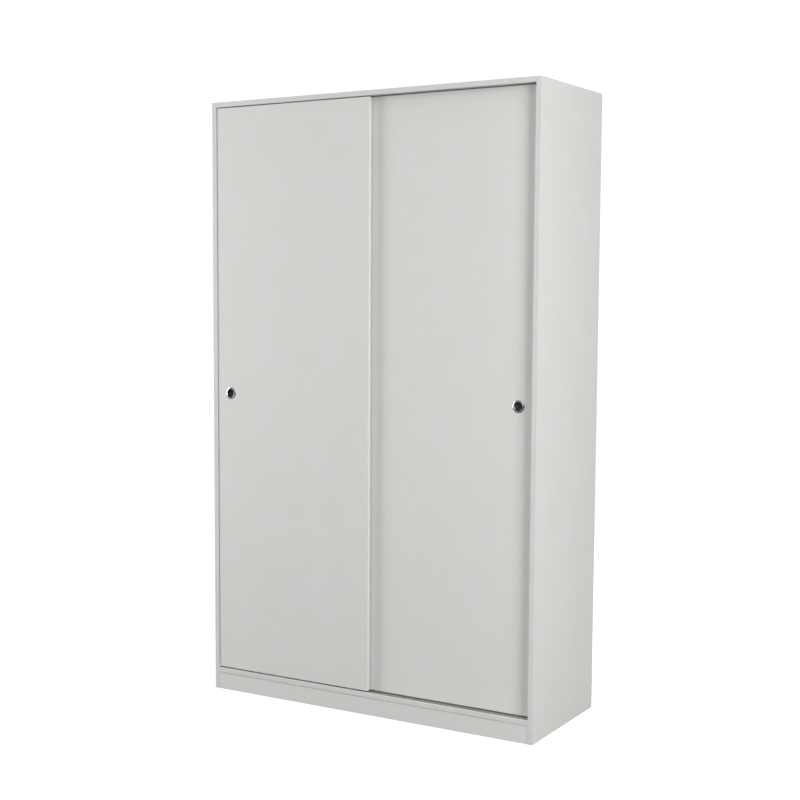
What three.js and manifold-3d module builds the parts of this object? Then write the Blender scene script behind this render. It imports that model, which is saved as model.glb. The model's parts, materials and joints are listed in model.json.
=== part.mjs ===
// Sliding door wardrobe, 1190 x 480 x 2000 mm.
//
// Millimetres, +Z up, doors facing -Y, origin on the floor at the middle of the footprint.
// A board carcass on a plinth, parted into a hanging bay (left) and a shelf bay (right),
// with two doors on rollers that pass one behind the other.
import * as THREE from 'three';
import { mergeVertices } from 'three/addons/utils/BufferGeometryUtils.js';
import Module from 'manifold-3d';

const wasm = await Module();
wasm.setup();

// ---------------------------------------------------------------- driving dimensions
const WIDTH = 1190;
const DEPTH = 480;
const HEIGHT = 2000;
const BOARD = 16;
const PLINTH_HEIGHT = 58;
const PLINTH_RECESS = 1.5;

const BACK_BOARD = 3;
const BACK_INSET = 9;
const GROOVE_DEPTH = 6;
const FIT_GAP = 0.3;

const DOOR_WIDTH = 590;
const DOOR_BOTTOM = 79;
const DOOR_TOP = 1980.5;
const DOOR_RECESS = 3;
const DOOR_SPACING = 21;
const DOOR_SIDE_GAP = 2;

const PULL_SETBACK = 52;
const PULL_HEIGHT = 1028;
const FITTING_SETBACK = 70;

const INTERIOR_SETBACK = 50;
const HAT_SHELF_BOTTOM = 1656;
const SHELF_PITCH = 384;
const SHELF_COUNT = 3;

// ---------------------------------------------------------------- planes that follow from them
const OUTER_X = WIDTH / 2;
const INNER_X = OUTER_X - BOARD;
const FRONT_Y = -DEPTH / 2;
const REAR_Y = DEPTH / 2;
const FLOOR_Z = PLINTH_HEIGHT + BOARD;
const CEILING_Z = HEIGHT - BOARD;
const BACK_Y = REAR_Y - BACK_INSET - BACK_BOARD;
const INTERIOR_Y = FRONT_Y + INTERIOR_SETBACK;
const PARTITION_X = BOARD / 2;
const LANES = [FRONT_Y + DOOR_RECESS + BOARD / 2, FRONT_Y + DOOR_RECESS + BOARD / 2 + DOOR_SPACING];

// ---------------------------------------------------------------- materials
const WHITE = { color: 0xe4e3df, roughness: 0.45, metalness: 0 };
const PLASTIC = { color: 0xeceae6, roughness: 0.5, metalness: 0 };
const LIGHT_GREY_PLASTIC = { color: 0xc4c4c2, roughness: 0.45, metalness: 0 };
const MID_GREY_PLASTIC = { color: 0x8e8e8c, roughness: 0.45, metalness: 0 };
const CHROME = { color: 0xc8c9cb, roughness: 0.12, metalness: 1 };
const STEEL = { color: 0x9a9a98, roughness: 0.35, metalness: 1 };
const ZINC = { color: 0xb3b1ab, roughness: 0.45, metalness: 1 };
const NYLON = { color: 0xd9d8d2, roughness: 0.55, metalness: 0 };

// ---------------------------------------------------------------- solids and how they are placed
function toSolid(geometry) {
  const bare = geometry.index ? geometry.toNonIndexed() : geometry.clone();
  bare.deleteAttribute('normal');
  bare.deleteAttribute('uv');
  const merged = mergeVertices(bare, 1e-4);
  const at = merged.attributes.position;
  const index = merged.index.array;
  const corners = [new THREE.Vector3(), new THREE.Vector3(), new THREE.Vector3()];
  const kept = [];
  let volume = 0;
  for (let i = 0; i < index.length; i += 3) {
    const tri = [index[i], index[i + 1], index[i + 2]];
    if (tri[0] === tri[1] || tri[1] === tri[2] || tri[2] === tri[0]) continue;
    kept.push(tri);
    corners.forEach((corner, k) => corner.fromBufferAttribute(at, tri[k]));
    volume += corners[0].dot(corners[1].clone().cross(corners[2]));
  }
  const triVerts = kept.flatMap(([a, b, c]) => (volume < 0 ? [a, c, b] : [a, b, c]));
  return new wasm.Manifold(new wasm.Mesh({
    numProp: 3,
    vertProperties: new Float32Array(at.array),
    triVerts: new Uint32Array(triVerts),
  }));
}

function toGeometry(solid) {
  const mesh = solid.getMesh();
  const geometry = new THREE.BufferGeometry();
  geometry.setAttribute('position', new THREE.BufferAttribute(mesh.vertProperties, 3));
  geometry.setIndex(new THREE.BufferAttribute(mesh.triVerts, 1));
  geometry.computeVertexNormals();
  return geometry;
}

// A box between two corners.
function block([x0, x1], [y0, y1], [z0, z1]) {
  const geometry = new THREE.BoxGeometry(x1 - x0, y1 - y0, z1 - z0);
  geometry.translate((x0 + x1) / 2, (y0 + y1) / 2, (z0 + z1) / 2);
  return toSolid(geometry);
}

function extrude(points, length) {
  const shape = new THREE.Shape(points.map(([u, v]) => new THREE.Vector2(u, v)));
  return new THREE.ExtrudeGeometry(shape, { depth: length, bevelEnabled: false, steps: 1 });
}

// An outline in Y and Z, drawn out along X.
function alongX(outline, [x0, x1]) {
  const geometry = extrude(outline, x1 - x0);
  const turn = new THREE.Matrix4().makeBasis(
    new THREE.Vector3(0, 1, 0),
    new THREE.Vector3(0, 0, 1),
    new THREE.Vector3(1, 0, 0),
  );
  geometry.applyMatrix4(turn);
  geometry.translate(x0, 0, 0);
  return toSolid(geometry);
}

// An outline in X and Y, drawn out along Z.
function alongZ(outline, [z0, z1]) {
  const geometry = extrude(outline, z1 - z0);
  geometry.translate(0, 0, z0);
  return toSolid(geometry);
}

// A profile of [radius, distance along the axis], turned about an axis and put at a place.
function turned(profile, axis, at, segments) {
  const geometry = new THREE.LatheGeometry(profile.map(([r, t]) => new THREE.Vector2(r, t)), segments);
  const spin = new THREE.Quaternion().setFromUnitVectors(new THREE.Vector3(0, 1, 0), axis);
  geometry.applyQuaternion(spin);
  geometry.translate(...at);
  return toSolid(geometry);
}

const AXIS_X = new THREE.Vector3(1, 0, 0);
const AXIS_X_BACK = new THREE.Vector3(-1, 0, 0);
const AXIS_Y = new THREE.Vector3(0, 1, 0);
const AXIS_Z = new THREE.Vector3(0, 0, 1);

// A plain cylinder from a point, for bores, pins and axles.
function rod(radius, length, axis, at, segments = 24) {
  return turned([[0, 0], [radius, 0], [radius, length], [0, length]], axis, at, segments);
}

function cut(solid, tools) {
  return tools.reduce((body, tool) => body.subtract(tool), solid);
}

const wardrobe = new THREE.Group();
wardrobe.name = 'sliding_door_wardrobe';

function add(parent, name, solid, finish) {
  const mesh = new THREE.Mesh(toGeometry(solid), new THREE.MeshStandardMaterial(finish));
  mesh.name = name;
  parent.add(mesh);
}

const carcass = new THREE.Group();
wardrobe.add(carcass);

// ---------------------------------------------------------------- shelf supports
const PIN_SPIGOT_R = 2.5;
const PIN_SPIGOT_LENGTH = 8.5;
const PIN_HOLE_R = 2.8;
const PIN_HOLE_DEPTH = 9;
const PIN_HEAD_R = 3.8;
const PIN_HEAD_LENGTH = 9;
const PIN_REST_GAP = 0.05;
const PIN_FROM_EDGE = 40;
const PIN_ROWS_Y = [INTERIOR_Y + PIN_FROM_EDGE, BACK_Y - PIN_FROM_EDGE];
const PIN_SEGMENTS = 12;

const shelfBottoms = Array.from({ length: SHELF_COUNT }, (_, k) => FLOOR_Z + SHELF_PITCH * (k + 1));

// Each pin sits in a wall of the shelf bay and points into the bay.
const pins = shelfBottoms.flatMap((bottom) => PIN_ROWS_Y.flatMap((y) => [
  { wallX: PARTITION_X, inward: AXIS_X, outward: AXIS_X_BACK, y, z: bottom - PIN_HEAD_R - PIN_REST_GAP },
  { wallX: INNER_X, inward: AXIS_X_BACK, outward: AXIS_X, y, z: bottom - PIN_HEAD_R - PIN_REST_GAP },
]));

function pinHoles(wallX) {
  return pins
    .filter((pin) => pin.wallX === wallX)
    .map((pin) => {
      const mouth = [wallX + pin.inward.x, pin.y, pin.z];
      return rod(PIN_HOLE_R, PIN_HOLE_DEPTH + 1, pin.outward, mouth, PIN_SEGMENTS);
    });
}

pins.forEach((pin, k) => {
  const profile = [
    [0, -PIN_SPIGOT_LENGTH],
    [PIN_SPIGOT_R, -PIN_SPIGOT_LENGTH],
    [PIN_SPIGOT_R, 0],
    [PIN_HEAD_R, 0],
    [PIN_HEAD_R, PIN_HEAD_LENGTH - 1],
    [PIN_HEAD_R - 1, PIN_HEAD_LENGTH],
    [0, PIN_HEAD_LENGTH],
  ];
  const solid = turned(profile, pin.inward, [pin.wallX, pin.y, pin.z], PIN_SEGMENTS);
  add(carcass, `shelf_pin_${k + 1}`, solid, STEEL);
});

// ---------------------------------------------------------------- side panels and partition
// A side is one full-height board with a groove near its rear edge for the back board.
function sidePanel(side) {
  const groove0 = BACK_Y - FIT_GAP;
  const groove1 = BACK_Y + BACK_BOARD + FIT_GAP;
  const outline = [
    [OUTER_X, FRONT_Y],
    [OUTER_X, REAR_Y],
    [INNER_X, REAR_Y],
    [INNER_X, groove1],
    [INNER_X + GROOVE_DEPTH, groove1],
    [INNER_X + GROOVE_DEPTH, groove0],
    [INNER_X, groove0],
    [INNER_X, FRONT_Y],
  ];
  return alongZ(outline.map(([x, y]) => [side * x, y]), [0, HEIGHT]);
}

add(carcass, 'side_panel_left', sidePanel(-1), WHITE);
add(carcass, 'side_panel_right', cut(sidePanel(1), pinHoles(INNER_X)), WHITE);

const partition = block([-PARTITION_X, PARTITION_X], [INTERIOR_Y, BACK_Y], [FLOOR_Z, CEILING_Z]);
add(carcass, 'centre_partition', cut(partition, pinHoles(PARTITION_X)), WHITE);

// ---------------------------------------------------------------- door tracks
// Both tracks are plastic strips with one lane for each door. The upper one hangs two
// channels in grooves of the top panel, and the lower one carries two running ribs.
const TRACK_PLATE = 1;
const TRACK_MARGIN = 6;
const TRACK_Y = [LANES[0] - TRACK_MARGIN, LANES[1] + TRACK_MARGIN];
const CHANNEL_HALF = 3.6;
const CHANNEL_WALL = 1;
const CHANNEL_HEIGHT = 9;
const RIB_HALF = 1.5;
const RIB_TOP_HALF = 1;
const RIB_HEIGHT = 3;
const RIB_CHAMFER = 0.5;
const TRACK_X = [-INNER_X, INNER_X];

function topTrackOutline() {
  const low = CEILING_Z - TRACK_PLATE;
  const inside = CEILING_Z + CHANNEL_HEIGHT - CHANNEL_WALL;
  const outside = CEILING_Z + CHANNEL_HEIGHT;
  const wall = CHANNEL_HALF + CHANNEL_WALL;
  const under = LANES.flatMap((y) => [
    [y - CHANNEL_HALF, low],
    [y - CHANNEL_HALF, inside],
    [y + CHANNEL_HALF, inside],
    [y + CHANNEL_HALF, low],
  ]);
  const over = [...LANES].reverse().flatMap((y) => [
    [y + wall, CEILING_Z],
    [y + wall, outside],
    [y - wall, outside],
    [y - wall, CEILING_Z],
  ]);
  return [
    [TRACK_Y[0], low],
    ...under,
    [TRACK_Y[1], low],
    [TRACK_Y[1], CEILING_Z],
    ...over,
    [TRACK_Y[0], CEILING_Z],
  ];
}

function bottomTrackOutline() {
  const plate = FLOOR_Z + TRACK_PLATE;
  const top = FLOOR_Z + RIB_HEIGHT;
  const ribs = [...LANES].reverse().flatMap((y) => [
    [y + RIB_HALF, plate],
    [y + RIB_HALF, top - RIB_CHAMFER],
    [y + RIB_TOP_HALF, top],
    [y - RIB_TOP_HALF, top],
    [y - RIB_HALF, top - RIB_CHAMFER],
    [y - RIB_HALF, plate],
  ]);
  return [
    [TRACK_Y[0], FLOOR_Z],
    [TRACK_Y[1], FLOOR_Z],
    [TRACK_Y[1], plate],
    ...ribs,
    [TRACK_Y[0], plate],
  ];
}

add(carcass, 'top_track', alongX(topTrackOutline(), TRACK_X), LIGHT_GREY_PLASTIC);
add(carcass, 'bottom_track', alongX(bottomTrackOutline(), TRACK_X), MID_GREY_PLASTIC);

// ---------------------------------------------------------------- top panel and its cam locks
const CAM_R = 7.35;
const CAM_BORE_R = 7.6;
const CAM_HEIGHT = 12.2;
const CAM_BORE_DEPTH = 12.6;
const CAM_FROM_SIDE = 34;
const CAM_SINK = 0.2;
const CAM_SLOT = { length: 9, width: 1.6, depth: 1.6 };
const CAM_FROM_EDGE = 50;
const CAM_ROWS_Y = [INTERIOR_Y + CAM_FROM_EDGE, BACK_Y - CAM_FROM_EDGE];
const CAM_SEGMENTS = 32;

const camPlaces = [-1, 1].flatMap((side) => CAM_ROWS_Y.map((y) => [side * (INNER_X - CAM_FROM_SIDE), y]));

// The track channels need grooves as deep as the channels, with a fitting gap all round.
const trackGrooves = LANES.map((y) => {
  const half = CHANNEL_HALF + CHANNEL_WALL + FIT_GAP;
  const depthZ = CEILING_Z + CHANNEL_HEIGHT + FIT_GAP;
  return block([-INNER_X - 1, INNER_X + 1], [y - half, y + half], [CEILING_Z - 1, depthZ]);
});
const camBores = camPlaces.map(([x, y]) => (
  rod(CAM_BORE_R, CAM_BORE_DEPTH + 1, AXIS_Z, [x, y, CEILING_Z - 1], CAM_SEGMENTS)
));
const topBoard = block([-INNER_X, INNER_X], [FRONT_Y, BACK_Y], [CEILING_Z, HEIGHT]);
add(carcass, 'top_panel', cut(topBoard, [...trackGrooves, ...camBores]), WHITE);

camPlaces.forEach(([x, y], k) => {
  const face = CEILING_Z + CAM_SINK;
  const disc = rod(CAM_R, CAM_HEIGHT, AXIS_Z, [x, y, face], CAM_SEGMENTS);
  const half = CAM_SLOT.length / 2;
  const wide = CAM_SLOT.width / 2;
  const slot = block([x - half, x + half], [y - wide, y + wide], [face - 1, face + CAM_SLOT.depth]);
  add(carcass, `cam_lock_${k + 1}`, disc.subtract(slot), ZINC);
});

// ---------------------------------------------------------------- bottom panel and plinth
const PLINTH_REAR_SETBACK = 30;
const plinthZ = [0, PLINTH_HEIGHT];
const plinthFrontY = FRONT_Y + PLINTH_RECESS;
const plinthRearY = BACK_Y - PLINTH_REAR_SETBACK;

const bottomBoard = block([-INNER_X, INNER_X], [FRONT_Y, BACK_Y], [PLINTH_HEIGHT, FLOOR_Z]);
add(carcass, 'bottom_panel', bottomBoard, WHITE);
const plinthFront = block([-INNER_X, INNER_X], [plinthFrontY, plinthFrontY + BOARD], plinthZ);
add(carcass, 'plinth_front', plinthFront, WHITE);
const plinthRear = block([-INNER_X, INNER_X], [plinthRearY, plinthRearY + BOARD], plinthZ);
add(carcass, 'plinth_rear', plinthRear, WHITE);
const plinthCentre = block([-PARTITION_X, PARTITION_X], [plinthFrontY + BOARD, plinthRearY], plinthZ);
add(carcass, 'plinth_centre', plinthCentre, WHITE);

// ---------------------------------------------------------------- back boards
// Two thin boards meet behind the partition and slide into the grooves of the sides.
const BACK_SEAM = 0.5;
const BACK_MARGIN = 1;
const backX = INNER_X + GROOVE_DEPTH - FIT_GAP;
const backY = [BACK_Y, BACK_Y + BACK_BOARD];
const backZ = [PLINTH_HEIGHT + BACK_MARGIN, HEIGHT - BACK_MARGIN];
add(carcass, 'back_panel_left', block([-backX, -BACK_SEAM], backY, backZ), WHITE);
add(carcass, 'back_panel_right', block([BACK_SEAM, backX], backY, backZ), WHITE);

// ---------------------------------------------------------------- shelves
const SHELF_SIDE_GAP = 1;
const SHELF_REAR_GAP = 2;
const fixedZ = [HAT_SHELF_BOTTOM, HAT_SHELF_BOTTOM + BOARD];
add(carcass, 'hat_shelf', block([-INNER_X, -PARTITION_X], [INTERIOR_Y, BACK_Y], fixedZ), WHITE);
add(carcass, 'fixed_shelf', block([PARTITION_X, INNER_X], [INTERIOR_Y, BACK_Y], fixedZ), WHITE);
shelfBottoms.forEach((bottom, k) => {
  const across = [PARTITION_X + SHELF_SIDE_GAP, INNER_X - SHELF_SIDE_GAP];
  const shelf = block(across, [INTERIOR_Y, BACK_Y - SHELF_REAR_GAP], [bottom, bottom + BOARD]);
  add(carcass, `adjustable_shelf_${k + 1}`, shelf, WHITE);
});

// ---------------------------------------------------------------- hanging rail
const RAIL_SEGMENTS = 32;
const RAIL_R = 12.5;
const RAIL_WALL = 1.2;
const RAIL_Y = (INTERIOR_Y + BACK_Y) / 2;
const RAIL_BELOW_SHELF = 46;
const RAIL_Z = HAT_SHELF_BOTTOM - RAIL_BELOW_SHELF;
const SOCKET_BASE = 4;
const SOCKET_LENGTH = 14;
const SOCKET_BASE_R = 20;
const SOCKET_CUP_R = 15.5;

const railEnds = [-INNER_X + SOCKET_BASE + FIT_GAP, -PARTITION_X - SOCKET_BASE - FIT_GAP];
const railLength = railEnds[1] - railEnds[0];
const railAt = [railEnds[0], RAIL_Y, RAIL_Z];
const railBoreAt = [railEnds[0] - 1, RAIL_Y, RAIL_Z];
const railBore = rod(RAIL_R - RAIL_WALL, railLength + 2, AXIS_X, railBoreAt, RAIL_SEGMENTS);
const railTube = rod(RAIL_R, railLength, AXIS_X, railAt, RAIL_SEGMENTS).subtract(railBore);
add(carcass, 'hanging_rail', railTube, CHROME);

// A round flange screwed to the wall, with a cup that the rail's end drops into.
const socketProfile = [
  [0, 0],
  [SOCKET_BASE_R, 0],
  [SOCKET_BASE_R, SOCKET_BASE - 1],
  [SOCKET_BASE_R - 1, SOCKET_BASE],
  [SOCKET_CUP_R, SOCKET_BASE],
  [SOCKET_CUP_R, SOCKET_LENGTH],
  [RAIL_R + FIT_GAP, SOCKET_LENGTH],
  [RAIL_R + FIT_GAP, SOCKET_BASE],
  [0, SOCKET_BASE],
];
const socketLeft = turned(socketProfile, AXIS_X, [-INNER_X, RAIL_Y, RAIL_Z], RAIL_SEGMENTS);
const socketRight = turned(socketProfile, AXIS_X_BACK, [-PARTITION_X, RAIL_Y, RAIL_Z], RAIL_SEGMENTS);
add(carcass, 'rail_socket_left', socketLeft, ZINC);
add(carcass, 'rail_socket_right', socketRight, ZINC);

// ---------------------------------------------------------------- anti-tip brackets
// A steel angle in the top rear corner of each bay. One leg is screwed up into the top
// panel, and a wall screw goes through the other leg and the back board.
const BRACKET_X = 290;
const BRACKET_LEG = 32;
const BRACKET_WIDTH = 22;
const BRACKET_THICK = 2;
const BRACKET_HOLE_R = 2.75;
const BRACKET_HOLE_FROM_END = 11;

[['left', -1], ['right', 1]].forEach(([name, side]) => {
  const outline = [
    [BACK_Y - BRACKET_LEG, CEILING_Z - BRACKET_THICK],
    [BACK_Y - BRACKET_THICK, CEILING_Z - BRACKET_THICK],
    [BACK_Y - BRACKET_THICK, CEILING_Z - BRACKET_LEG],
    [BACK_Y, CEILING_Z - BRACKET_LEG],
    [BACK_Y, CEILING_Z],
    [BACK_Y - BRACKET_LEG, CEILING_Z],
  ];
  const x = side * BRACKET_X;
  const angle = alongX(outline, [x - BRACKET_WIDTH / 2, x + BRACKET_WIDTH / 2]);
  const holeLength = BRACKET_THICK + 2;
  const upAt = [x, BACK_Y - BRACKET_LEG + BRACKET_HOLE_FROM_END, CEILING_Z - BRACKET_THICK - 1];
  const wallAt = [x, BACK_Y - BRACKET_THICK - 1, CEILING_Z - BRACKET_LEG + BRACKET_HOLE_FROM_END];
  const holes = [
    rod(BRACKET_HOLE_R, holeLength, AXIS_Z, upAt),
    rod(BRACKET_HOLE_R, holeLength, AXIS_Y, wallAt),
  ];
  add(carcass, `wall_bracket_${name}`, cut(angle, holes), STEEL);
});

// ---------------------------------------------------------------- doors
// A door is one board. Two roller housings are let into its lower edge, two guides into
// its upper edge, and a round finger pull into its face. Every fitting stays within the
// board's thickness, apart from the pull's rim, so that the doors can pass each other.
const PULL_BORE_R = 17.5;
const PULL_BORE_DEPTH = 12.6;
const PULL_RIM_R = 20;
const PULL_RIM_EDGE = 0.6;
const PULL_CREST_R = 15.5;
const PULL_CREST = 2;
const PULL_MOUTH_R = 13.4;
const PULL_MOUTH_FILLET = 1.2;
const PULL_FLOOR_R = 12.2;
const PULL_FLOOR_FILLET = 2;
const PULL_CUP_R = 17.2;
const PULL_DEPTH = 12.2;
const PULL_WALL = 1;
const PULL_SEGMENTS = 48;

const POCKET_HALF_THICK = 5.3;
const BLOCK_HALF_THICK = 5;
const HOUSING_LENGTH = 45;
const HOUSING_HEIGHT = 24;
const WHEEL_SLOT = { length: 25, halfThick: 3.7, height: 20 };
const WHEEL_R = 10.6;
const WHEEL_TREAD_R = 9;
const WHEEL_HALF = 3.2;
const TREAD_HALF = 1.9;
const GROOVE_MOUTH_HALF = 2.4;
const HUB_BORE_R = 1.6;
const AXLE_R = 1.5;
const AXLE_HALF = 4.7;
const WHEEL_LIFT = 0.2;
const WHEEL_Z = FLOOR_Z + RIB_HEIGHT + WHEEL_LIFT + WHEEL_TREAD_R;

const GUIDE_LENGTH = 30;
const GUIDE_HEIGHT = 16;
const GUIDE_PIN_R = 3;
const GUIDE_PIN_TOP = 1990.5;
const WHEEL_SEGMENTS = 32;

// The rim is a broad ring that falls gently outwards from a crest round the cup's mouth.
function pullProfile() {
  const floor = PULL_DEPTH - PULL_WALL;
  return [
    [0, floor],
    [PULL_FLOOR_R - PULL_FLOOR_FILLET, floor],
    [PULL_FLOOR_R, floor - PULL_FLOOR_FILLET],
    [PULL_MOUTH_R, 0],
    [PULL_MOUTH_R + PULL_MOUTH_FILLET / 3, -PULL_CREST + PULL_MOUTH_FILLET / 2],
    [PULL_MOUTH_R + PULL_MOUTH_FILLET, -PULL_CREST],
    [PULL_CREST_R, -PULL_CREST],
    [PULL_RIM_R - PULL_RIM_EDGE / 2, -PULL_RIM_EDGE],
    [PULL_RIM_R, 0],
    [PULL_CUP_R, 0],
    [PULL_CUP_R, PULL_DEPTH],
    [0, PULL_DEPTH],
  ];
}

// A grooved wheel that straddles the running rib.
function wheelProfile() {
  return [
    [HUB_BORE_R, -WHEEL_HALF],
    [WHEEL_R, -WHEEL_HALF],
    [WHEEL_R, -GROOVE_MOUTH_HALF],
    [WHEEL_TREAD_R, -TREAD_HALF],
    [WHEEL_TREAD_R, TREAD_HALF],
    [WHEEL_R, GROOVE_MOUTH_HALF],
    [WHEEL_R, WHEEL_HALF],
    [HUB_BORE_R, WHEEL_HALF],
    [HUB_BORE_R, -WHEEL_HALF],
  ];
}

function rollerHousing(x, y) {
  const halfLength = HOUSING_LENGTH / 2;
  const halfSlot = WHEEL_SLOT.length / 2;
  const across = [y - BLOCK_HALF_THICK, y + BLOCK_HALF_THICK];
  const body = block([x - halfLength, x + halfLength], across, [DOOR_BOTTOM, DOOR_BOTTOM + HOUSING_HEIGHT]);
  const slotY = [y - WHEEL_SLOT.halfThick, y + WHEEL_SLOT.halfThick];
  const slotZ = [DOOR_BOTTOM - 1, DOOR_BOTTOM + WHEEL_SLOT.height];
  const slot = block([x - halfSlot, x + halfSlot], slotY, slotZ);
  const holeFrom = [x, y - BLOCK_HALF_THICK - 1, WHEEL_Z];
  const axleHole = rod(HUB_BORE_R, 2 * BLOCK_HALF_THICK + 2, AXIS_Y, holeFrom);
  return cut(body, [slot, axleHole]);
}

function topGuide(x, y) {
  const half = GUIDE_LENGTH / 2;
  const across = [y - BLOCK_HALF_THICK, y + BLOCK_HALF_THICK];
  const body = block([x - half, x + half], across, [DOOR_TOP - GUIDE_HEIGHT, DOOR_TOP]);
  const pinFoot = [x, y, DOOR_TOP - 1];
  return body.add(rod(GUIDE_PIN_R, GUIDE_PIN_TOP - DOOR_TOP + 1, AXIS_Z, pinFoot));
}

function pocket(x, y, length, [z0, z1]) {
  const half = length / 2 + FIT_GAP;
  return block([x - half, x + half], [y - POCKET_HALF_THICK, y + POCKET_HALF_THICK], [z0, z1]);
}

// side is -1 for the left door and 1 for the right door; its outer edge faces that side.
function door(name, side, laneY) {
  const group = new THREE.Group();
  const outerEdge = side * (INNER_X - DOOR_SIDE_GAP);
  const innerEdge = outerEdge - side * DOOR_WIDTH;
  const across = [Math.min(outerEdge, innerEdge), Math.max(outerEdge, innerEdge)];
  const faceY = laneY - BOARD / 2;
  const pullX = outerEdge - side * PULL_SETBACK;
  const fittingXs = {
    outer: outerEdge - side * FITTING_SETBACK,
    inner: innerEdge + side * FITTING_SETBACK,
  };

  const tools = Object.values(fittingXs).flatMap((x) => [
    pocket(x, laneY, HOUSING_LENGTH, [DOOR_BOTTOM - 1, DOOR_BOTTOM + HOUSING_HEIGHT + FIT_GAP]),
    pocket(x, laneY, GUIDE_LENGTH, [DOOR_TOP - GUIDE_HEIGHT - FIT_GAP, DOOR_TOP + 1]),
  ]);
  tools.push(rod(PULL_BORE_R, PULL_BORE_DEPTH + 1, AXIS_Y, [pullX, faceY - 1, PULL_HEIGHT], PULL_SEGMENTS));
  const board = block(across, [faceY, faceY + BOARD], [DOOR_BOTTOM, DOOR_TOP]);
  add(group, `${name}_panel`, cut(board, tools), WHITE);

  const pullAt = [pullX, faceY, PULL_HEIGHT];
  add(group, `${name}_finger_pull`, turned(pullProfile(), AXIS_Y, pullAt, PULL_SEGMENTS), CHROME);

  Object.entries(fittingXs).forEach(([end, x]) => {
    add(group, `${name}_roller_housing_${end}`, rollerHousing(x, laneY), PLASTIC);
    const axle = rod(AXLE_R, 2 * AXLE_HALF, AXIS_Y, [x, laneY - AXLE_HALF, WHEEL_Z]);
    add(group, `${name}_axle_${end}`, axle, STEEL);
    const wheel = turned(wheelProfile(), AXIS_Y, [x, laneY, WHEEL_Z], WHEEL_SEGMENTS);
    add(group, `${name}_wheel_${end}`, wheel, NYLON);
    add(group, `${name}_top_guide_${end}`, topGuide(x, laneY), PLASTIC);
  });
  return group;
}

wardrobe.add(door('left_door', -1, LANES[0]));
wardrobe.add(door('right_door', 1, LANES[1]));

export default wardrobe;
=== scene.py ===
import json
import math

import bmesh
import bpy
from mathutils import Matrix, Vector


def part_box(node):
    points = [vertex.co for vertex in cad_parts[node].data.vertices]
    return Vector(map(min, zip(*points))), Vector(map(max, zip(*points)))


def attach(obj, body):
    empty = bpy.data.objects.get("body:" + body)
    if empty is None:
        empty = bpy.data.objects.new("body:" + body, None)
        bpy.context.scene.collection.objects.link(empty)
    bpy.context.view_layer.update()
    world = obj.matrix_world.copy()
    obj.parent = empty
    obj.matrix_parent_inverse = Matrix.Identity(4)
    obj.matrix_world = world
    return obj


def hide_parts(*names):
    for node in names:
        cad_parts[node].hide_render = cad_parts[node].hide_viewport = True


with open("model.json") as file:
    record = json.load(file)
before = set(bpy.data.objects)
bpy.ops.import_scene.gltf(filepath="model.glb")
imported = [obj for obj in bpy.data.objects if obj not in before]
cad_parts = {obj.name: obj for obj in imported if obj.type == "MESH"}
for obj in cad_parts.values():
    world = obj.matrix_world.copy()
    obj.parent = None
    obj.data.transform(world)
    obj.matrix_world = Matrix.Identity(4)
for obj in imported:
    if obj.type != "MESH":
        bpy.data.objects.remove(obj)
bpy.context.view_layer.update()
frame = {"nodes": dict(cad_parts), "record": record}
cad_nodes = frame["nodes"]
body_of_node = {
    node: body
    for body, nodes in frame["record"]["behaviour"]["bodies"].items()
    for node in nodes
}


# ---------------------------------------------------------------------------
# Carcass boards. 16 mm particle board faced with white melamine paper, sawn to size,
# with a thin plastic edging glued round the sawn edges and its corners trimmed round.
# The raw chips show only where a groove, a pocket or a drilled hole goes through the paper.
# ---------------------------------------------------------------------------
def mm(length):
    """Millimetres as metres."""
    return length / 1000


def per_mm(spacing):
    """The scale of a texture on Object coordinates whose features are that many mm apart."""
    return 1 / mm(spacing)


def linear(hex_color):
    """An sRGB hex colour as the linear RGBA that shader sockets take."""
    channels = [int(hex_color[k:k + 2], 16) / 255 for k in (1, 3, 5)]
    return [c / 12.92 if c <= 0.04045 else ((c + 0.055) / 1.055) ** 2.4 for c in channels] + [1]


def add_node(tree, kind, sockets=None, **settings):
    """Adds a node with its settings; a socket takes a value, or another node's output."""
    node = tree.nodes.new(kind)
    for name, value in settings.items():
        setattr(node, name, value)
    for socket, value in (sockets or {}).items():
        if isinstance(value, bpy.types.NodeSocket):
            tree.links.new(value, node.inputs[socket])
        else:
            node.inputs[socket].default_value = value
    return node


def finish_of(name, build, **constants):
    """A material on the Principled shader. build adds the pattern and returns what it drives."""
    material = bpy.data.materials.new(name)
    material.use_nodes = True
    tree = material.node_tree
    tree.nodes.clear()
    place = add_node(tree, "ShaderNodeTexCoord").outputs["Object"]
    driven = build(tree, place)
    sockets = {socket.replace("_", " "): value for socket, value in constants.items()}
    shader = add_node(tree, "ShaderNodeBsdfPrincipled", {**sockets, **driven})
    add_node(tree, "ShaderNodeOutputMaterial", {"Surface": shader.outputs["BSDF"]})
    return material


def speckle(tree, place, spacing, detail=2, stretch=(1, 1, 1)):
    """Noise with features of that spacing in mm, longer along an axis where stretch is above 1."""
    scale = [1 / s for s in stretch]
    drawn = add_node(tree, "ShaderNodeMapping", {"Vector": place, "Scale": scale}).outputs["Vector"]
    sockets = {"Vector": drawn, "Scale": per_mm(spacing), "Detail": detail}
    return add_node(tree, "ShaderNodeTexNoise", sockets).outputs["Fac"]


def between(tree, amount, dark, light):
    """A colour that goes from one hex value to the other as amount goes from low to high."""
    ramp = add_node(tree, "ShaderNodeValToRGB", {"Fac": amount})
    ramp.color_ramp.elements[0].position = 0.3
    ramp.color_ramp.elements[1].position = 0.7
    ramp.color_ramp.elements[0].color = linear(dark)
    ramp.color_ramp.elements[1].color = linear(light)
    return ramp.outputs["Color"]


def level(tree, amount, low, high):
    """A number that goes from low to high as amount goes from 0.3 to 0.7."""
    sockets = {"Value": amount, "From Min": 0.3, "From Max": 0.7, "To Min": low, "To Max": high}
    return add_node(tree, "ShaderNodeMapRange", sockets).outputs["Result"]


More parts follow.
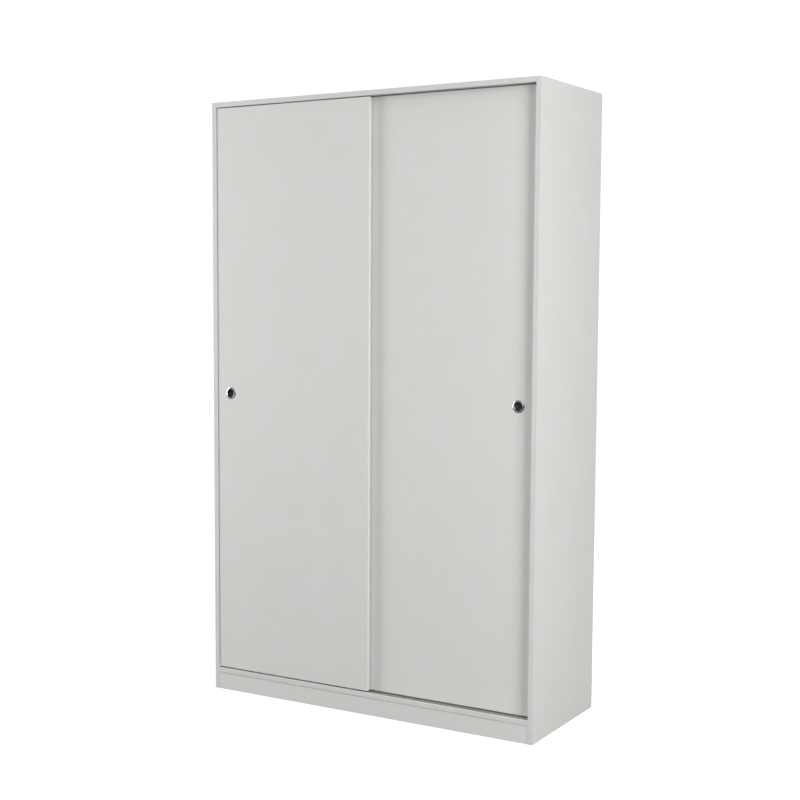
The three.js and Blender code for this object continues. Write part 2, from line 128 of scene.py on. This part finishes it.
def relief(tree, amount, depth):
    """The surface raised and sunk by amount, over that many mm."""
    sockets = {"Height": amount, "Strength": 1, "Distance": mm(depth)}
    return add_node(tree, "ShaderNodeBump", sockets).outputs["Normal"]


# White melamine: resin-soaked paper pressed against a steel sheet, which leaves a satin
# skin with fine upright pores. The pores are really 0.3 mm wide and drawn at 3 mm.
def melamine_pattern(tree, place):
    pores = speckle(tree, place, 3, stretch=(1, 1, 14))
    print_tone = speckle(tree, place, 110, detail=3)
    return {
        "Base Color": between(tree, print_tone, "#E1E0DD", "#E3E2E0"),
        "Roughness": level(tree, pores, 0.40, 0.50),
        "Normal": relief(tree, pores, 0.012),
    }


# ABS edging: extruded plastic strip, a little cooler and smoother than the paper, with
# faint draw lines along it.
def edging_pattern(tree, place):
    lines = speckle(tree, place, 2.5, stretch=(20, 1, 20))
    return {
        "Base Color": between(tree, lines, "#DBDBDA", "#DFDFDE"),
        "Roughness": level(tree, lines, 0.34, 0.42),
        "Normal": relief(tree, lines, 0.008),
    }


# Raw particle board: pressed wood chips of 2 to 4 mm, matt, straw to brown.
def chip_pattern(tree, place):
    chips = speckle(tree, place, 3, detail=4, stretch=(2, 2, 1))
    return {
        "Base Color": between(tree, chips, "#8E6E49", "#CBAE80"),
        "Normal": relief(tree, chips, 0.25),
    }


melamine = finish_of("white_melamine_paper", melamine_pattern, IOR=1.5)
edging = finish_of("white_abs_edging", edging_pattern, IOR=1.5)
raw_chips = finish_of("raw_particle_board", chip_pattern, Roughness=0.9)
BOARD_FINISHES = (melamine, edging, raw_chips)
ON_FACE, ON_EDGE, ON_CUT = range(3)

BOARD_EASE = 0.6
EASE_SEGMENTS = 2
SHARP = math.radians(30)
FLAT = math.radians(0.5)
WELD = 0.002
SKIN_DEPTH = 0.01
SQUARE_ON = 0.99


def merged_copy(node):
    """A CAD node's mesh as one closed skin, with its flat faces whole again."""
    bm = bmesh.new()
    bm.from_mesh(cad_nodes[node].data)
    bmesh.ops.remove_doubles(bm, verts=bm.verts, dist=mm(WELD))
    bmesh.ops.dissolve_limit(bm, angle_limit=FLAT, verts=bm.verts, edges=bm.edges)
    return bm


def ease_edges(bm, radius):
    """Rounds every sharp outer edge to that radius in mm."""
    sharp = [e for e in bm.edges if e.is_manifold and e.is_convex and e.calc_face_angle() > SHARP]
    bmesh.ops.bevel(
        bm,
        geom=sharp,
        offset=mm(radius),
        offset_type="OFFSET",
        affect="EDGES",
        segments=EASE_SEGMENTS,
        profile=0.5,
        material=-1,
        clamp_overlap=True,
    )


def put_in_scene(bm, name, body, finishes, stands_for=(), smooth=False):
    """Makes the object, lets it ride on its body, and hides the CAD nodes it stands for."""
    mesh = bpy.data.meshes.new(name)
    for face in bm.faces:
        face.smooth = smooth
    bm.to_mesh(mesh)
    bm.free()
    if smooth:
        mesh.set_sharp_from_angle(angle=SHARP)
    for finish in finishes:
        mesh.materials.append(finish)
    piece = bpy.data.objects.new(name, mesh)
    bpy.context.scene.collection.objects.link(piece)
    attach(piece, body)
    if stands_for:
        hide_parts(*stands_for)
    return piece


def board(node, name, finishes=BOARD_FINISHES):
    """A board with eased edges: paper on its two faces, edging round it, chips in its cuts."""
    bm = merged_copy(node)
    low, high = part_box(node)
    size = high - low
    thin = min(range(3), key=lambda k: size[k])
    for face in bm.faces:
        centre = face.calc_center_median()
        face.material_index = ON_CUT
        for k in range(3):
            from_skin = min(centre[k] - low[k], high[k] - centre[k])
            if from_skin < mm(SKIN_DEPTH) and abs(face.normal[k]) > SQUARE_ON:
                face.material_index = ON_FACE if k == thin else ON_EDGE
    ease_edges(bm, BOARD_EASE)
    return put_in_scene(bm, name, body_of_node[node], finishes, (node,))


board("side_panel_left", "left_side_board")
right_side = board("side_panel_right", "right_side_board")
middle = board("centre_partition", "partition_board")


# ---------------------------------------------------------------------------
# Line holes. 5 mm holes bored 10 mm deep every 32 mm, in two columns on both walls of the
# shelf bay, so that each shelf can be hung a few steps higher or lower.
# ---------------------------------------------------------------------------
HOLE_PITCH = 32
HOLE_RADIUS = 2.5
HOLE_DEPTH = 10
HOLE_SEGMENTS = 16
STEPS_EACH_WAY = 3
PIN_COUNT = sum(node.startswith("shelf_pin_") for node in cad_nodes)
pin_nodes = [f"shelf_pin_{k + 1}" for k in range(PIN_COUNT)]


def middle_of(node):
    """The centre of a CAD node's box."""
    low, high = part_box(node)
    return (low + high) / 2


def drill(piece, holes_bm, finish):
    """Takes the shapes in holes_bm out of the piece; the walls of the cut get that finish."""
    mesh = bpy.data.meshes.new("drill")
    holes_bm.to_mesh(mesh)
    holes_bm.free()
    mesh.materials.append(finish)
    tool = bpy.data.objects.new("drill", mesh)
    bpy.context.scene.collection.objects.link(tool)
    cut = piece.modifiers.new("drilling", "BOOLEAN")
    cut.operation = "DIFFERENCE"
    cut.solver = "EXACT"
    cut.material_mode = "TRANSFER"
    cut.object = tool
    drilled = piece.evaluated_get(bpy.context.evaluated_depsgraph_get())
    piece.data = bpy.data.meshes.new_from_object(drilled)
    piece.modifiers.clear()
    bpy.data.objects.remove(tool)


def line_holes(wall_x):
    """The cylinders that bore the free holes of one wall, above and below each of its pins."""
    bm = bmesh.new()
    steps = [s for s in range(-STEPS_EACH_WAY, STEPS_EACH_WAY + 1) if s]
    for node in pin_nodes:
        pin = middle_of(node)
        if abs(pin.x - wall_x) > mm(HOLE_DEPTH):
            continue
        for step in steps:
            at = Vector((wall_x, pin.y, pin.z + mm(step * HOLE_PITCH)))
            sideways = Matrix.Rotation(math.radians(90), 4, "Y")
            bmesh.ops.create_cone(
                bm,
                cap_ends=True,
                segments=HOLE_SEGMENTS,
                radius1=mm(HOLE_RADIUS),
                radius2=mm(HOLE_RADIUS),
                depth=mm(2 * HOLE_DEPTH),
                matrix=Matrix.Translation(at) @ sideways,
            )
    return bm


drill(right_side, line_holes(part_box("side_panel_right")[0].x), raw_chips)
drill(middle, line_holes(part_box("centre_partition")[1].x), raw_chips)


# ---------------------------------------------------------------------------
# Plinth, bottom and top. The plinth is a front board, a rear rail and a foot under the
# partition, all standing on the floor. The bottom lies on it, with a fine shadow joint
# along the front, and the top closes the sides.
# ---------------------------------------------------------------------------
PLINTH_JOINT = 0.8
PLINTH_TOP_BAND = 1.5 * BOARD_EASE

plinth = board("plinth_front", "plinth_board")
plinth_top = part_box("plinth_front")[1].z
for vert in plinth.data.vertices:
    if vert.co.z > plinth_top - mm(PLINTH_TOP_BAND):
        vert.co.z -= mm(PLINTH_JOINT)
board("plinth_rear", "plinth_rear_rail")
board("plinth_centre", "plinth_centre_foot")
board("bottom_panel", "bottom_board")
board("top_panel", "top_board")


# ---------------------------------------------------------------------------
# Shelves. The hat shelf and its neighbour are fixed between the walls; the other three lie
# loose on four pins each. All of them have edging on the front.
# ---------------------------------------------------------------------------
LOOSE_SHELVES = 3

board("hat_shelf", "hat_shelf_board")
board("fixed_shelf", "fixed_shelf_board")
for k in range(LOOSE_SHELVES):
    board(f"adjustable_shelf_{k + 1}", f"loose_shelf_board_{k + 1}")


# ---------------------------------------------------------------------------
# Back. Two sheets of 3 mm hardboard, white lacquer inside and bare brown fibre outside,
# slid into the grooves of the sides and nailed to the top, the bottom and the partition.
# ---------------------------------------------------------------------------
NAIL_SPACING = 105
NAIL_HEAD_RADIUS = 2.2
NAIL_TIP_RADIUS = 1.32
NAIL_HEAD_HEIGHT = 0.5
NAIL_SEGMENTS = 10
NAIL_FROM_EDGE = 30
NAIL_FROM_SEAM = 4
BACK_SHEETS = {"back_panel_left": "left_back_sheet", "back_panel_right": "right_back_sheet"}


# White lacquer rolled on hardboard: flatter than melamine, with a slight roller stipple.
def lacquer_pattern(tree, place):
    stipple = speckle(tree, place, 4)
    return {
        "Base Color": between(tree, speckle(tree, place, 90), "#DAD8D2", "#DEDCD7"),
        "Roughness": level(tree, stipple, 0.5, 0.58),
        "Normal": relief(tree, stipple, 0.02),
    }


# Hardboard fibre: steam-pressed wood fibre, brown, with darker clots 20 to 60 mm across
# and the print of the wire screen, really 1.5 mm and drawn at 5 mm.
def fibre_pattern(tree, place):
    clots = speckle(tree, place, 45, detail=6)
    screen = speckle(tree, place, 5, detail=1)
    return {
        "Base Color": between(tree, clots, "#8D6D4D", "#987754"),
        "Roughness": level(tree, screen, 0.7, 0.85),
        "Normal": relief(tree, screen, 0.12),
    }


lacquer = finish_of("white_lacquered_hardboard", lacquer_pattern, IOR=1.5)
fibre = finish_of("bare_hardboard_fibre", fibre_pattern, IOR=1.5)

for node, name in BACK_SHEETS.items():
    sheet = board(node, name, (lacquer, fibre, fibre))
    for face in sheet.data.polygons:
        if face.normal.y > 0.5:
            face.material_index = ON_EDGE


# Nickel-plated steel: drawn wire and pressed heads, satin, slightly warm, with fine scratches.
def nickel_pattern(tree, place):
    scratches = speckle(tree, place, 1.2, detail=3)
    return {
        "Base Color": between(tree, scratches, "#B4AEA3", "#C2BCB1"),
        "Roughness": level(tree, scratches, 0.24, 0.38),
    }


nickel = finish_of("nickel_plated_steel", nickel_pattern, Metallic=1)


def evenly(first, last, spacing):
    """Places from first to last, as near to that many mm apart as fits."""
    count = max(1, round((last - first) / mm(spacing)))
    return [first + (last - first) * k / count for k in range(count + 1)]


def nail_heads():
    """A row along the top and the bottom, and one on each side of the seam at the partition."""
    low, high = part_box("back_panel_left")[0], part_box("back_panel_right")[1]
    rows_z = [middle_of("bottom_panel").z, middle_of("top_panel").z]
    inset = mm(NAIL_FROM_EDGE)
    places = [(x, z) for z in rows_z for x in evenly(low.x + inset, high.x - inset, NAIL_SPACING)]
    upright = evenly(rows_z[0] + mm(NAIL_SPACING), rows_z[1] - mm(NAIL_SPACING), NAIL_SPACING)
    places += [(side * mm(NAIL_FROM_SEAM), z) for side in (-1, 1) for z in upright]
    bm = bmesh.new()
    for x, z in places:
        at = Vector((x, high.y + mm(NAIL_HEAD_HEIGHT) / 2, z))
        bmesh.ops.create_cone(
            bm,
            cap_ends=True,
            segments=NAIL_SEGMENTS,
            radius1=mm(NAIL_HEAD_RADIUS),
            radius2=mm(NAIL_TIP_RADIUS),
            depth=mm(NAIL_HEAD_HEIGHT),
            matrix=Matrix.Translation(at) @ Matrix.Rotation(math.radians(-90), 4, "X"),
        )
    return bm


put_in_scene(nail_heads(), "back_nails", "carcass", (nickel,))


# ---------------------------------------------------------------------------
# Door tracks. PVC extruded in one length: the lower one is a thin plate with a running rib for each
# door, coloured mid grey as painted shade under the doors; the upper one a light grey pair of deep
# channels let into the top.
# ---------------------------------------------------------------------------
TRACK_EASE = 0.3


def extruded_pattern(dark, pale):
    """Satin plastic with draw lines along the strip."""
    def pattern(tree, place):
        lines = speckle(tree, place, 1.5, stretch=(60, 1, 1))
        return {
            "Base Color": between(tree, lines, dark, pale),
            "Roughness": level(tree, lines, 0.34, 0.46),
            "Normal": relief(tree, lines, 0.01),
        }
    return pattern


# Extruded PVC, light grey: reads as part of the white carcass.
light_pvc = finish_of("extruded_light_grey_pvc", extruded_pattern("#BCBCBA", "#C2C2C0"), IOR=1.53)
# Extruded PVC coloured mid grey: a guessed colour that paints the shade in the gap under the doors.
pvc_painted_shade = finish_of("extruded_grey_pvc_painted_shade", extruded_pattern("#878785", "#8E8E8C"), IOR=1.53)


def softened(node, name, finish, radius):
    """A CAD node's own shape with its outer edges eased."""
    bm = merged_copy(node)
    ease_edges(bm, radius)
    return put_in_scene(bm, name, body_of_node[node], (finish,), (node,))


# The lower track takes the grey that paints the shade under the doors.
softened("bottom_track", "lower_track_strip", pvc_painted_shade, TRACK_EASE)
softened("top_track", "upper_track_strip", light_pvc, TRACK_EASE)


# ---------------------------------------------------------------------------
# Cam locks. Zinc die-cast discs in blind bores near the corners of the top board; a
# quarter turn with a screwdriver pulls the bolt in the side panel tight.
# ---------------------------------------------------------------------------
# Zinc die casting: bare grey, satin, with the fine orange-peel skin of the die.
def zinc_pattern(tree, place):
    skin = speckle(tree, place, 1.6, detail=3)
    return {
        "Base Color": between(tree, skin, "#9C9B97", "#AEADA8"),
        "Roughness": level(tree, skin, 0.4, 0.55),
        "Normal": relief(tree, skin, 0.04),
    }


zinc = finish_of("zinc_die_casting", zinc_pattern, Metallic=1)

CAM_LOCKS = 4
CAM_EASE = 0.4

for k in range(CAM_LOCKS):
    node = f"cam_lock_{k + 1}"
    softened(node, f"cam_disc_{k + 1}", zinc, CAM_EASE)


# ---------------------------------------------------------------------------
# Shelf pins. Turned steel pegs, nickel plated: a 5 mm spigot pushed into a line hole and a
# fatter head that the shelf lies on.
# ---------------------------------------------------------------------------
SPIGOT_LENGTH = 8.5
SPIGOT_RADIUS = 2.5
PEG_HEAD_RADIUS = 3.75
PEG_HEAD_LENGTH = 9
PEG_PROFILE = [
    (0, -SPIGOT_LENGTH), (SPIGOT_RADIUS, -SPIGOT_LENGTH), (SPIGOT_RADIUS, 0),
    (PEG_HEAD_RADIUS, 0), (PEG_HEAD_RADIUS, PEG_HEAD_LENGTH), (0, PEG_HEAD_LENGTH),
]
PEG_EASE = 0.7
LATHE_WELD = 0.001


def turn(profile, at, axis, ease=0, steps=32):
    """A shape turned on a lathe: points of (radius, distance along the axis) in mm."""
    bm = bmesh.new()
    ring = [bm.verts.new((mm(r), 0, mm(t))) for r, t in profile]
    edges = [bm.edges.new(pair) for pair in zip(ring, ring[1:])]
    bmesh.ops.spin(
        bm,
        geom=ring + edges,
        cent=(0, 0, 0),
        axis=(0, 0, 1),
        angle=math.tau,
        steps=steps,
        use_merge=True,
    )
    bmesh.ops.remove_doubles(bm, verts=bm.verts, dist=mm(LATHE_WELD))
    bmesh.ops.recalc_face_normals(bm, faces=bm.faces)
    if ease:
        ease_edges(bm, ease)
    tilt = Vector((0, 0, 1)).rotation_difference(Vector(axis)).to_matrix().to_4x4()
    bmesh.ops.transform(bm, verts=bm.verts, matrix=Matrix.Translation(at) @ tilt)
    return bm


for k, node in enumerate(pin_nodes):
    low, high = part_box(node)
    points_right = middle_of(node).x < middle_of("fixed_shelf").x
    base_x = low.x + mm(SPIGOT_LENGTH) if points_right else high.x - mm(SPIGOT_LENGTH)
    base = Vector((base_x, middle_of(node).y, middle_of(node).z))
    along = (1, 0, 0) if points_right else (-1, 0, 0)
    bm = turn(PEG_PROFILE, base, along, ease=PEG_EASE, steps=20)
    name = f"shelf_peg_{k + 1}"
    put_in_scene(bm, name, "carcass", (nickel,), (node,), True)


# ---------------------------------------------------------------------------
# Hanging rail. 25 mm chromed steel tube, dropped into two round die-cast sockets that are
# screwed to the side panel and to the partition.
# ---------------------------------------------------------------------------
RAIL_RADIUS = 12.5
RAIL_WALL = 1.2


# Chrome plating: mirror bright, with a haze of fine wiping marks that only dulls the gloss.
def chrome_pattern(tree, place):
    haze = speckle(tree, place, 9, detail=4)
    return {
        "Base Color": between(tree, haze, "#C3C4C6", "#C9CACC"),
        "Roughness": level(tree, haze, 0.05, 0.12),
    }


chrome = finish_of("bright_chrome_plating", chrome_pattern, Metallic=1)

rail_low, rail_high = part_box("hanging_rail")
rail_length = (rail_high.x - rail_low.x) * 1000
rail_profile = [
    (RAIL_RADIUS, 0),
    (RAIL_RADIUS, rail_length),
    (RAIL_RADIUS - RAIL_WALL, rail_length),
    (RAIL_RADIUS - RAIL_WALL, 0),
    (RAIL_RADIUS, 0),
]
rail_start = Vector((rail_low.x, middle_of("hanging_rail").y, middle_of("hanging_rail").z))
rail_bm = turn(rail_profile, rail_start, (1, 0, 0), steps=64)
put_in_scene(rail_bm, "rail_tube", "carcass", (chrome,), ("hanging_rail",), True)

SOCKET_EASE = 0.6
SOCKET_PROFILE = [
    (0, 0), (20, 0), (20, 3.2), (15.5, 4), (15.5, 14), (12.8, 14), (12.8, 4), (0, 4),
]
for side, along, wall in (("left", (1, 0, 0), 0), ("right", (-1, 0, 0), 1)):
    node = f"rail_socket_{side}"
    at = middle_of(node)
    at.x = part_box(node)[wall].x
    bm = turn(SOCKET_PROFILE, at, along, ease=SOCKET_EASE, steps=48)
    put_in_scene(bm, f"{side}_rail_cup", "carcass", (zinc,), (node,), True)


# A pan head with a cross recess. These sizes are shares of the head's radius.
CROSS_HALF_WIDTH = 0.13
CROSS_REACH = 0.52
CROSS_TAPER = 0.75
CROSS_FLOOR = 0.12
HEAD_HEIGHT = 0.55
HEAD_FALL = 0.3
GRID_LINES = {0.2: CROSS_HALF_WIDTH, 0.6: CROSS_REACH, 1.0: 1.0}


def screw_head(bm, at, facing, radius):
    """Adds a head seated at a point and facing a direction, from a 5 by 5 grid."""
    made = bmesh.ops.create_grid(bm, x_segments=5, y_segments=5, size=1)["verts"]
    for vert in made:
        x, y = (math.copysign(GRID_LINES[round(abs(c), 1)], c) for c in vert.co.xy)
        flat = Vector((x, y, 0))
        vert.co = flat.normalized() if max(abs(x), abs(y)) == 1 else flat
        vert.co.z = HEAD_HEIGHT - HEAD_FALL * vert.co.xy.length_squared
    faces = list({face for vert in made for face in vert.link_faces})
    arms = []
    for face in faces:
        across = sorted(abs(c) for c in face.calc_center_median().xy)
        if across[0] < CROSS_HALF_WIDTH and across[1] < CROSS_REACH:
            arms.append(face)
    rim = [edge for face in faces for edge in face.edges if edge.is_boundary]
    skirt = bmesh.ops.extrude_edge_only(bm, edges=list(set(rim)))["geom"]
    skirt_verts = [v for v in skirt if isinstance(v, bmesh.types.BMVert)]
    for vert in skirt_verts:
        vert.co.z = 0
    recess = bmesh.ops.extrude_face_region(bm, geom=arms)["geom"]
    recess_verts = [v for v in recess if isinstance(v, bmesh.types.BMVert)]
    bmesh.ops.delete(bm, geom=arms, context="FACES_ONLY")
    for vert in recess_verts:
        vert.co.xy *= CROSS_TAPER
        vert.co.z = CROSS_FLOOR
    foot = {edge for vert in skirt_verts for edge in vert.link_edges if edge.is_boundary}
    bmesh.ops.contextual_create(bm, geom=list(foot))
    tilt = Vector((0, 0, 1)).rotation_difference(Vector(facing)).to_matrix().to_4x4()
    place = Matrix.Translation(at) @ tilt @ Matrix.Scale(mm(radius), 4)
    bmesh.ops.transform(bm, verts=made + skirt_verts + recess_verts, matrix=place)


SOCKET_SCREW_RADIUS = 2.2
SOCKET_SCREW_SEAT = 3.7
SOCKET_SCREW_OFFSET = 17.6

screws_bm = bmesh.new()
for side, facing, wall in (("left", (1, 0, 0), 0), ("right", (-1, 0, 0), 1)):
    node = f"rail_socket_{side}"
    base_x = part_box(node)[wall].x + facing[0] * mm(SOCKET_SCREW_SEAT)
    for up in (-SOCKET_SCREW_OFFSET, SOCKET_SCREW_OFFSET):
        at = Vector((base_x, middle_of(node).y, middle_of(node).z + mm(up)))
        screw_head(screws_bm, at, facing, SOCKET_SCREW_RADIUS)
bmesh.ops.recalc_face_normals(screws_bm, faces=screws_bm.faces)
put_in_scene(screws_bm, "rail_socket_screws", "carcass", (nickel,))


# ---------------------------------------------------------------------------
# Anti-tip brackets. Pressed steel angles in the top rear corner of each bay, screwed up
# into the top board; the free hole in the other leg takes the wall screw.
# ---------------------------------------------------------------------------
BRACKET_EASE = 0.4
BRACKET_SHEET = 2
BRACKET_SCREW_RADIUS = 3.4
BRACKET_SCREW_FROM_FRONT = 11

screws_bm = bmesh.new()
for side in ("left", "right"):
    node = f"wall_bracket_{side}"
    softened(node, f"{side}_anti_tip_angle", nickel, BRACKET_EASE)
    low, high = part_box(node)
    seat_y = low.y + mm(BRACKET_SCREW_FROM_FRONT)
    at = Vector((middle_of(node).x, seat_y, high.z - mm(BRACKET_SHEET)))
    screw_head(screws_bm, at, (0, 0, -1), BRACKET_SCREW_RADIUS)
bmesh.ops.recalc_face_normals(screws_bm, faces=screws_bm.faces)
put_in_scene(screws_bm, "bracket_screws", "carcass", (nickel,))


# ---------------------------------------------------------------------------
# Doors. One 16 mm melamine board each, with edging all round. The lower edge has pockets
# for the rollers, the upper edge for the guides, and the face a blind bore for the pull.
# ---------------------------------------------------------------------------
# Moulded fitting plastic: off-white acetal with a fine spark-eroded grain, drawn at 1 mm.
def moulded_pattern(tree, place):
    grain = speckle(tree, place, 1, detail=2)
    return {
        "Base Color": between(tree, grain, "#D4D2CB", "#DAD8D2"),
        "Roughness": level(tree, grain, 0.5, 0.62),
        "Normal": relief(tree, grain, 0.03),
    }


# Natural nylon for the wheels: waxy and slightly yellow.
def nylon_pattern(tree, place):
    flow = speckle(tree, place, 6, detail=2)
    return {
        "Base Color": between(tree, flow, "#D6D1C2", "#DDD9CC"),
        "Roughness": level(tree, flow, 0.36, 0.44),
    }


moulded = finish_of("moulded_acetal", moulded_pattern, IOR=1.48)
nylon = finish_of("natural_nylon", nylon_pattern, IOR=1.53)

# Each wheel has a tread between two flanges, which keep it on its rib.
BORE_RADIUS = 1.6
TREAD_RADIUS = 9
FLANGE_RADIUS = 10.6
WHEEL_HALF_WIDTH = 3.2
FLANGE_TOP = 2.4
FLANGE_FOOT = 1.9
WHEEL_PROFILE = [
    (BORE_RADIUS, -WHEEL_HALF_WIDTH), (FLANGE_RADIUS, -WHEEL_HALF_WIDTH),
    (FLANGE_RADIUS, -FLANGE_TOP), (TREAD_RADIUS, -FLANGE_FOOT),
    (TREAD_RADIUS, FLANGE_FOOT), (FLANGE_RADIUS, FLANGE_TOP),
    (FLANGE_RADIUS, WHEEL_HALF_WIDTH), (BORE_RADIUS, WHEEL_HALF_WIDTH),
    (BORE_RADIUS, -WHEEL_HALF_WIDTH),
]
WHEEL_EASE = 0.25
PIN_RADIUS = 1.5
PIN_HALF_LENGTH = 4.7
PIN_PROFILE = [
    (0, -PIN_HALF_LENGTH), (PIN_RADIUS, -PIN_HALF_LENGTH),
    (PIN_RADIUS, PIN_HALF_LENGTH), (0, PIN_HALF_LENGTH),
]
PIN_EASE = 0.3
FITTING_EASE = 0.4


def arc(centre, radius, start, end, steps):
    """Points on an arc of a profile, with the angles in degrees."""
    angles = [math.radians(start + (end - start) * k / steps) for k in range(steps + 1)]
    return [(centre[0] + radius * math.cos(a), centre[1] + radius * math.sin(a)) for a in angles]


# A finger pull is a cup pressed from thin steel and chromed: a broad polished ring falls
# outwards from a crest in one soft curve, and a steep wall runs down to a flat floor.
PULL_RADIUS = 20
RING_CREST = 1.9
RING_CURVE = 10.2
RING_CENTRE = 14.05
RING_SLOPES = (272, 304)
MOUTH_CENTRE = 14.4
MOUTH_ROUND = 1
CUP_WALL_RADIUS = 17.2
CUP_FLOOR = 11.2
CUP_FLOOR_FLAT = 9.8
CUP_FLOOR_ROUND = 2.4
CUP_STEEL = 1
CUP_BEGINS = 0.5


# Cup metal darkened as painted shade: a guessed colour, which makes the middle of the pull read
# nearly black with a faint sheen where the deep cup would show a dark reflection. It is darker than
# plain chrome or nickel would be.
def cup_painted_shade_pattern(tree, place):
    haze = speckle(tree, place, 5, detail=4)
    return {
        "Base Color": between(tree, haze, "#64615E", "#716E6A"),
        "Roughness": level(tree, haze, 0.16, 0.26),
    }


cup_painted_shade = finish_of("cup_metal_painted_shade", cup_painted_shade_pattern, Metallic=1)


def pull_profile():
    """From the middle of the cup's floor, out over the ring, and back behind the cup."""
    floor_centre = (CUP_FLOOR_FLAT, CUP_FLOOR - CUP_FLOOR_ROUND)
    cup_corner = arc(floor_centre, CUP_FLOOR_ROUND, 8, 90, 6)
    mouth = arc((MOUTH_CENTRE, MOUTH_ROUND - RING_CREST), MOUTH_ROUND, 180, 270, 6)
    ring = arc((RING_CENTRE, RING_CURVE - RING_CREST), RING_CURVE, *RING_SLOPES, 12)
    back = CUP_FLOOR + CUP_STEEL
    outside = [(PULL_RADIUS, 0), (CUP_WALL_RADIUS, 0.1), (CUP_WALL_RADIUS, back), (0, back)]
    return [(0, CUP_FLOOR), *reversed(cup_corner), *mouth, *ring, *outside]


for door in ("left_door", "right_door"):
    board(f"{door}_panel", f"{door}_board")
    node = f"{door}_finger_pull"
    at = middle_of(node)
    at.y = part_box(f"{door}_panel")[0].y
    bm = turn(pull_profile(), at, (0, 1, 0), steps=96)
    for face in bm.faces:
        # Faces deeper than the mouth take the darkened metal, which paints the shade deep in the
        # cup.
        face.material_index = int(face.calc_center_median().y > at.y + mm(CUP_BEGINS))
    finishes = (chrome, cup_painted_shade)
    put_in_scene(bm, f"{door}_pull_cup", door, finishes, (node,), True)
    for end in ("outer", "inner"):
        node = f"{door}_roller_housing_{end}"
        softened(node, f"{door}_roller_box_{end}", moulded, FITTING_EASE)
        node = f"{door}_top_guide_{end}"
        softened(node, f"{door}_guide_block_{end}", moulded, FITTING_EASE)
        node = f"{door}_axle_{end}"
        bm = turn(PIN_PROFILE, middle_of(node), (0, 1, 0), ease=PIN_EASE, steps=24)
        name = f"{door}_wheel_pin_{end}"
        put_in_scene(bm, name, door, (nickel,), (node,), True)
        node = f"{door}_wheel_{end}"
        bm = turn(WHEEL_PROFILE, middle_of(node), (0, 1, 0), ease=WHEEL_EASE, steps=48)
        name = f"{door}_roller_{end}"
        put_in_scene(bm, name, node, (nylon,), (node,), True)


# ---------------------------------------------------------------------------
# Studio. A white floor and a white surround that show as plain white, a soft sky that is
# brightest overhead, and large soft boxes; the camera stands at eye height, front right.
# ---------------------------------------------------------------------------
FLOOR_GLOW = 0.92
FLOOR_HALF_WIDTH = 60
SURROUND_WHITE = 1.05
HORIZON_LIGHT = 0.09
ZENITH_LIGHT = 0.95
WHITE = (1, 1, 1, 1)


# The floor bounces light like grey paper. What the camera sees of it is lifted to white,
# which leaves only a faint shadow round the foot of the wardrobe.
def floor_pattern(tree, place):
    seen = add_node(tree, "ShaderNodeLightPath").outputs["Is Camera Ray"]
    sockets = {0: seen, 1: FLOOR_GLOW}
    glow = add_node(tree, "ShaderNodeMath", sockets, operation="MULTIPLY").outputs["Value"]
    tone = speckle(tree, place, 400)
    return {"Base Color": between(tree, tone, "#747474", "#787878"), "Emission Strength": glow}


floor_paper = finish_of(
    "pale_floor_paper",
    floor_pattern,
    Roughness=0.9,
    Emission_Color=WHITE,
)
floor_bm = bmesh.new()
bmesh.ops.create_grid(floor_bm, x_segments=1, y_segments=1, size=FLOOR_HALF_WIDTH)
floor_mesh = bpy.data.meshes.new("floor")
floor_bm.to_mesh(floor_mesh)
floor_bm.free()
floor_mesh.materials.append(floor_paper)
floor = bpy.data.objects.new("floor", floor_mesh)
bpy.context.scene.collection.objects.link(floor)


def sky(tree):
    """White to the camera; to the wardrobe, a soft light that grows from horizon to zenith."""
    direction = add_node(tree, "ShaderNodeTexCoord").outputs["Generated"]
    height = add_node(tree, "ShaderNodeSeparateXYZ", {"Vector": direction}).outputs["Z"]
    sockets = {"Value": height, "To Min": HORIZON_LIGHT, "To Max": ZENITH_LIGHT}
    light = add_node(tree, "ShaderNodeMapRange", sockets).outputs["Result"]
    soft = add_node(tree, "ShaderNodeBackground", {"Strength": light, "Color": WHITE})
    plain = add_node(tree, "ShaderNodeBackground", {"Strength": SURROUND_WHITE, "Color": WHITE})
    seen = add_node(tree, "ShaderNodeLightPath").outputs["Is Camera Ray"]
    sockets = {0: seen, 1: soft.outputs["Background"], 2: plain.outputs["Background"]}
    both = add_node(tree, "ShaderNodeMixShader", sockets)
    add_node(tree, "ShaderNodeOutputWorld", {"Surface": both.outputs["Shader"]})


room = bpy.data.worlds.new("white_room")
bpy.context.scene.world = room
room.use_nodes = True
room.node_tree.nodes.clear()
sky(room.node_tree)


def soft_box(name, at, aim, width, height, power):
    """A rectangular area light that faces a point."""
    light = bpy.data.lights.new(name, "AREA")
    light.shape = "RECTANGLE"
    light.size = width
    light.size_y = height
    light.energy = power
    lamp = bpy.data.objects.new(name, light)
    lamp.location = at
    lamp.rotation_euler = (Vector(aim) - Vector(at)).to_track_quat("-Z", "Y").to_euler()
    bpy.context.scene.collection.objects.link(lamp)


soft_box("right_soft_box", (3.35, -1.75, 1.75), (0.5, -0.2, 1.2), 1.4, 2.9, 94)
soft_box("left_soft_box", (-3.5, -1.65, 1.6), (-0.5, -0.2, 1.2), 1.3, 2.8, 82)
soft_box("front_soft_box", (0.6, -4.8, 2.0), (0, -0.2, 1.1), 2.0, 2.0, 13)
soft_box("rear_soft_box", (0, 3.2, 1.3), (0, 0.2, 1.1), 1.2, 1.3, 70)

camera = bpy.data.objects.new("camera", bpy.data.cameras.new("camera"))
camera.location = (2.334, -4.208, 1.391)
camera.rotation_euler = (math.radians(90 - 5.219), 0, math.radians(32.493))
camera.data.lens = 65.06
camera.data.sensor_width = 36
camera.data.shift_x = 0.1086
camera.data.shift_y = 0.022
bpy.context.scene.collection.objects.link(camera)
bpy.context.scene.camera = camera
bpy.context.scene.view_settings.view_transform = "Standard"
